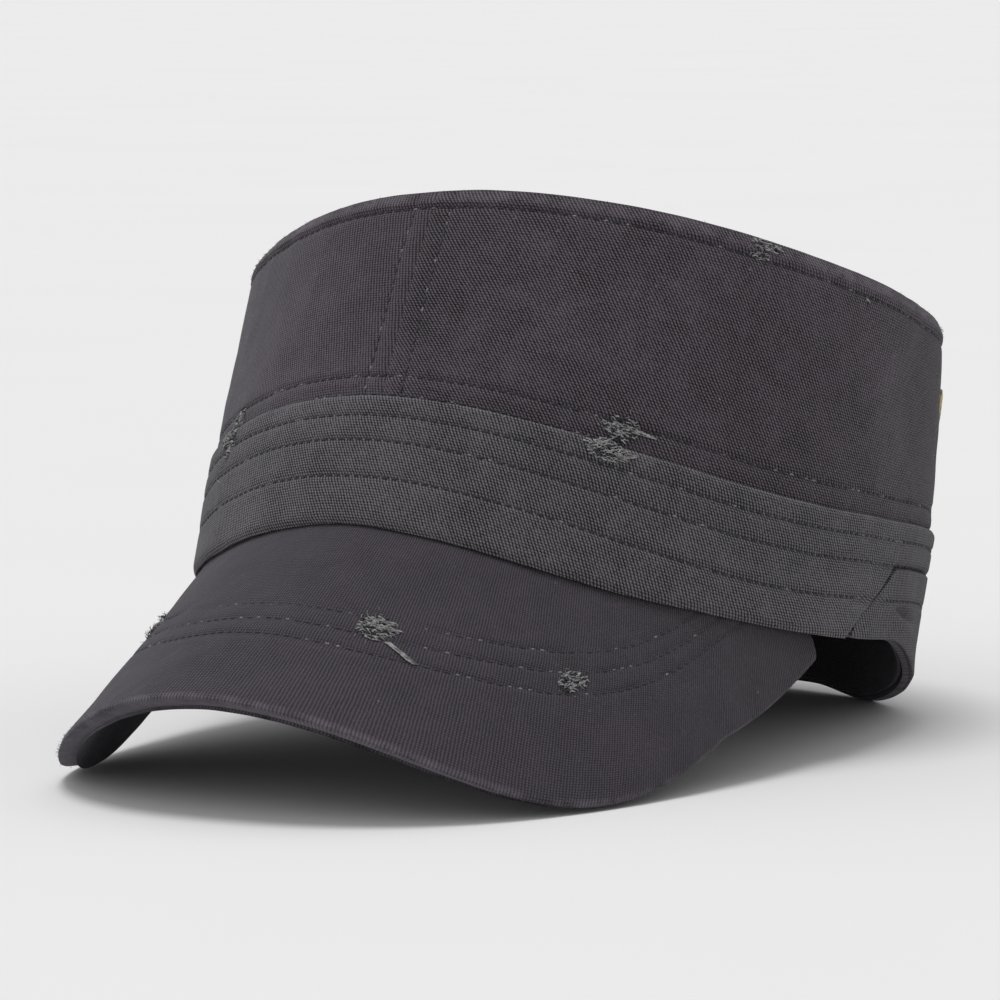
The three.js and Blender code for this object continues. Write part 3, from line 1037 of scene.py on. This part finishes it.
# %% [markdown]
# ## Eyelets
#
# A brass eyelet is a short tube through the cloth, rolled out flat on both sides. It could be a
# tube and two rings. Here its whole section, with a rounded outer roll, is spun round once, which
# gives it closed and without seams.

# %% Brass
def aged_brass():
    material, tree, shader = new_material("eyelet_brass")
    place = tree.nodes.new("ShaderNodeTexCoord").outputs["Object"]
    stains = cloud(tree, place, 700, 3, 0.6)
    colour = blended(tree, between(tree, stains, 0.4, 0.65), (0.42, 0.32, 0.13, 1), (0.16, 0.12, 0.06, 1))
    tree.links.new(colour, shader.inputs["Base Color"])
    tree.links.new(between(tree, stains, 0.35, 0.7, 0.28, 0.6), shader.inputs["Roughness"])
    shader.inputs["Metallic"].default_value = 1.0
    tree.links.new(bump(tree, cloud(tree, place, 2500, 2), 0.03 * mm), shader.inputs["Normal"])
    return material


brass = aged_brass()
print("brass made")

# %% Eyelets
eyelet_radius = 5.0
eyelet_hole = 2.5
eyelet_metal = 0.6
eyelet_tilt = math.radians(8)
inner_face = -crown_cloth - clearance
for side, name, node in (
    (1, "eyelet_left_brass", "eyelet_left"),
    (-1, "eyelet_right_brass", "eyelet_right"),
):
    mesh = bmesh.new()
    section = [
        (eyelet_hole, inner_face), (eyelet_hole + 0.5, inner_face - eyelet_metal),
        (eyelet_radius - 0.5, inner_face - eyelet_metal), (eyelet_radius, inner_face),
        (eyelet_hole + eyelet_metal, inner_face + 0.1), (eyelet_hole + eyelet_metal, 0.1),
        (eyelet_radius - 0.3, 0.15), (eyelet_radius, 0.45), (eyelet_radius - 0.4, 0.85),
        (eyelet_radius - 1.2, 1.0), (eyelet_hole + 0.5, 0.8), (eyelet_hole, 0.3),
    ]
    points = [mesh.verts.new((radius, 0, height)) for radius, height in section]
    edges = [mesh.edges.new(pair) for pair in zip(points, points[1:] + points[:1])]
    bmesh.ops.spin(
        mesh, geom=points + edges, cent=(0, 0, 0), axis=(0, 0, 1),
        angle=2 * math.pi, steps=40, use_merge=True,
    )
    bmesh.ops.remove_doubles(mesh, verts=mesh.verts, dist=1e-4)
    bmesh.ops.recalc_face_normals(mesh, faces=mesh.faces)
    angle = side * eyelet_angle
    out = oval_outwards(angle, eyelet_height)
    seat = wall(angle, eyelet_height, 0)
    turned = Matrix.Rotation(-side * eyelet_tilt, 3, "Z") @ out.to_track_quat("Z", "Y").to_matrix()
    for vert in mesh.verts:
        vert.co = set_down(seat + turned @ vert.co)
    finish_piece(mesh, name, brass, [node])

# %% [markdown]
# ## Loose threads
#
# The rim, the lip and a few rubbed places have lost their surface, and the torn yarns stand up as
# fuzz. Each thread is a short tube that wanders away from the cloth. Patches of them are placed
# where the photograph shows them. Hair particles could grow them, but each mark here has bare weft
# threads side by side, which hair doesn't give.

# %% Where the cloth is rubbed
pale_thread = plain_thread("pale_thread", (0.12, 0.118, 0.12, 1), (0.32, 0.32, 0.315, 1), 0.9)
grey_thread = plain_thread("grey_thread", (0.05, 0.047, 0.053, 1), (0.13, 0.125, 0.135, 1), 0.9)
fray = random.Random(21)
torn_threads, torn_shade = [], []
wall_marks = [
    # angle, height, wide, tall
    (-36.5, 29.5, 8, 13),
    (38.5, 34.0, 8, 5),
    (37.0, 28.6, 10, 4.5),
    (54.5, 81.6, 7.5, 2.4),
    (54.2, 79.3, 5.5, 1.6),
    (76.8, 77.6, 1.0, 1.0),
]
peak_marks = [
    # column as a share, from lip, wide, tall
    (0.575, 35.5, 10, 8),
    (0.725, 30.5, 8, 5.5),
    (0.33, 38.0, 5, 6),
]
tails = [
    # angle, height, length along, length up
    (41.0, 34.3, 5.0, -0.3),
    (36.0, 29.4, 3.0, 2.2),
    (39.5, 27.6, 3.6, 1.0),
]

print(len(wall_marks), "marks on the wall and", len(peak_marks), "on the peak")

# %% Points on the cloth
def on_wall(angle, height):
    surface = crown_cloth_at if height > band_height else band_point
    return surface(angle, height), oval_outwards(angle, height)


def on_peak(column, from_lip):
    column = min(max(column, 0), peak_columns)
    whole = min(int(column), peak_columns - 1)
    width = (roots[whole] - lips[whole]).length
    share = min(max(from_lip / width, 0), 0.98)
    point = peak_place(whole, share).lerp(peak_place(whole + 1, share), column - whole)
    return point, peak_normal(point.x, point.y)


# %% One loose fibre and one rubbed mark
def hair(point, out, along, length, thickness):
    """One loose fibre that leaves the cloth and wanders."""
    thread = [(point - out * 0.1, thickness)]
    heading = (out * fray.uniform(0.2, 0.8) + along * fray.uniform(-1, 1)).normalized()
    for i in range(3):
        heading = (heading + Vector([fray.uniform(-0.7, 0.7) for _ in range(3)])).normalized()
        thread.append((thread[-1][0] + heading * length / 3, thickness * (1 - 0.2 * i)))
    return thread


def rub(place, per_mm, column, row, wide, tall):
    """A mark where short bare weft threads lie side by side, with gaps where some have gone."""
    height = -tall / 2
    while height <= tall / 2:
        half = wide / 2 * math.sqrt(max(1 - (2 * height / tall) ** 2, 0.15)) * fray.uniform(0.6, 1.1)
        start = -half
        while start < half:
            length = fray.uniform(0.7, 2.4)
            lift = fray.uniform(0.05, 0.45)
            thickness = fray.uniform(0.22, 0.48)
            slant = fray.uniform(-0.5, 0.5)
            thread = []
            for i in range(4):
                across = start + length * i / 3
                up = height + slant * (i / 3 - 0.5) + fray.uniform(-0.25, 0.25)
                point, out = place(column + across * per_mm, row + up)
                rise = (lift, lift + 0.15, lift + 0.1, -0.1)[i]
                thread.append((point + out * rise, thickness))
            # About one thread in five is near-black: painted shade for the dark gaps inside the mark.
            (torn_threads if fray.random() < 0.8 else torn_shade).append(thread)
            start += length * fray.uniform(0.7, 1.2)
        height += fray.uniform(0.35, 0.6)
    for _ in range(round(wide * tall * 0.6)):
        across, up = fray.gauss(0, wide / 3.4), fray.gauss(0, tall / 3.4)
        point, out = place(column + across * per_mm, row + up)
        along = Vector((-out.y, out.x, fray.uniform(-1, 1))).normalized()
        torn_threads.append(hair(point, out, along, fray.uniform(0.8, 2.0), fray.uniform(0.1, 0.2)))


# %% Rub the marks and pull out their tails
wall_tail_threads = 7
peak_tail_threads = 8
for angle, height, wide, tall in wall_marks:
    rub(on_wall, 1 / mm_per_degree, angle, height, wide, tall)
for share, from_lip, wide, tall in peak_marks:
    rub(on_peak, peak_columns / lip_length, share * peak_columns, from_lip, wide, tall)
for angle, height, along, up in tails:
    for _ in range(wall_tail_threads):
        drift = fray.uniform(-0.6, 0.6)
        thread = []
        for i in range(5):
            row = height + up * i / 4 + drift * (1 - i / 5)
            point, out = on_wall(angle + along * i / 4 / mm_per_degree, row)
            thread.append((point + out * (0.2 + 0.12 * i), 0.26 - 0.03 * i))
        torn_threads.append(thread)
for _ in range(peak_tail_threads):
    drift = fray.uniform(-0.7, 0.7)
    thread = []
    for i in range(5):
        point, out = on_peak((0.588 + 0.006 * i) * peak_columns + drift, 31.5 - 1.3 * i + drift * 0.3)
        thread.append((point + out * (0.25 + 0.1 * i), 0.26 - 0.03 * i))
    torn_threads.append(thread)
thread_piece("torn_threads", torn_threads, pale_thread)
thread_piece("torn_shade", torn_shade, dark_thread)

# %% [markdown]
# ## Fuzz and lint
#
# Washing raises a thin growth of fibres on the rim and on the lip. Two tufts stand on the peak's
# shoulder, on the wearer's right, where its stitched rows are worn. A pattern in the material
# wouldn't show on the cap's outline, so each fibre is real. A few specks of lint lie where the
# photograph has them.

# %% Fuzz on the edges and lint
rim_fibres = 900
lip_fibres = 500
tuft_fibres = 26
fibre_thickness = 0.08
tuft_places = ((0.325, 40), (0.335, 34))
lint_places = ((70, 81), (74.2, 80.5), (47.2, 31), (52, 24), (66.2, 32), (102, 31))
fuzz_threads = []
for _ in range(rim_fibres):
    angle = fray.uniform(-180, 180)
    height = crown_height - 0.4 - abs(fray.gauss(0, 1.2))
    point, out = on_wall(angle, height)
    along = Vector((-out.y, out.x, fray.uniform(-0.5, 1))).normalized()
    fuzz_threads.append(hair(point, out, along, fray.uniform(0.5, 1.1), fibre_thickness))
for _ in range(lip_fibres):
    point, out = on_peak(fray.uniform(2, peak_columns - 2), abs(fray.gauss(0, 0.7)))
    along = Vector((fray.uniform(-1, 1), fray.uniform(-1, 1), -0.5)).normalized()
    fuzz_threads.append(hair(point, out, along, fray.uniform(0.5, 1.1), fibre_thickness))
for share, from_lip in tuft_places:
    for _ in range(tuft_fibres):
        point, out = on_peak(share * peak_columns + fray.gauss(0, 2), from_lip + fray.gauss(0, 1))
        along = Vector((fray.uniform(-1, 1), fray.uniform(-1, 1), 0)).normalized()
        fuzz_threads.append(hair(point, out, along, fray.uniform(1.0, 2.0), 0.14))
for angle, height in lint_places:
    point, out = on_wall(angle, height)
    for _ in range(3):
        along = Vector((-out.y, out.x, fray.uniform(-1, 1))).normalized()
        fuzz_threads.append(hair(point + out * 0.1, out, along, 0.9, 0.22))
thread_piece("fuzz", fuzz_threads, grey_thread)

# %% [markdown]
# ## Floor and light
#
# The cap stands on a pale seamless surface. The main light is large and soft and comes from above.
# A weak one shines from the front, and a faint one from the left of the picture. The white world
# round them fills the shade, so the shade under the peak stays deep but its edges stay soft. Area
# lamps could do this too, but suns light a wide surface evenly, right to the back of the picture.

# %% Pale surface
def pale_floor():
    material, tree, shader = new_material("pale_surface")
    place = tree.nodes.new("ShaderNodeTexCoord").outputs["Object"]
    faint = between(tree, cloud(tree, place, 4, 2), 0.3, 0.7)
    shade = blended(tree, faint, (0.80, 0.80, 0.80, 1), (0.81, 0.81, 0.81, 1))
    tree.links.new(shade, shader.inputs["Base Color"])
    shader.inputs["Roughness"].default_value = 1.0
    shader.inputs["Specular IOR Level"].default_value = 0.0
    return material


surface_reach = 40
sweep = bmesh.new()
bmesh.ops.create_grid(sweep, x_segments=1, y_segments=1, size=surface_reach)
sweep_data = bpy.data.meshes.new("surface")
sweep.to_mesh(sweep_data)
sweep.free()
sweep_data.materials.append(pale_floor())
surface = bpy.data.objects.new("surface", sweep_data)
bpy.context.scene.collection.objects.link(surface)
print("surface laid")


# %% Lights and world
def soft_sun(name, toward, softness, strength):
    data = bpy.data.lights.new(name, "SUN")
    data.angle = math.radians(softness)
    data.energy = strength
    light = bpy.data.objects.new(name, data)
    bpy.context.scene.collection.objects.link(light)
    light.matrix_world = Vector(toward).to_track_quat("Z", "Y").to_matrix().to_4x4()


soft_sun("overhead_light", (-0.04, -0.1, 1), 26, 1.32)
soft_sun("front_light", (0.1, -1.0, 0.45), 70, 0.46)
soft_sun("side_light", (-1.0, 0.2, 0.5), 40, 0.06)
world_strength = 0.55
world = bpy.data.worlds.new("studio")
world.use_nodes = True
background = world.node_tree.nodes["Background"]
background.inputs["Color"].default_value = (1, 1, 1, 1)
background.inputs["Strength"].default_value = world_strength
bpy.context.scene.world = world
bpy.context.scene.view_settings.view_transform = "Standard"
print("lights set, world at", world_strength)
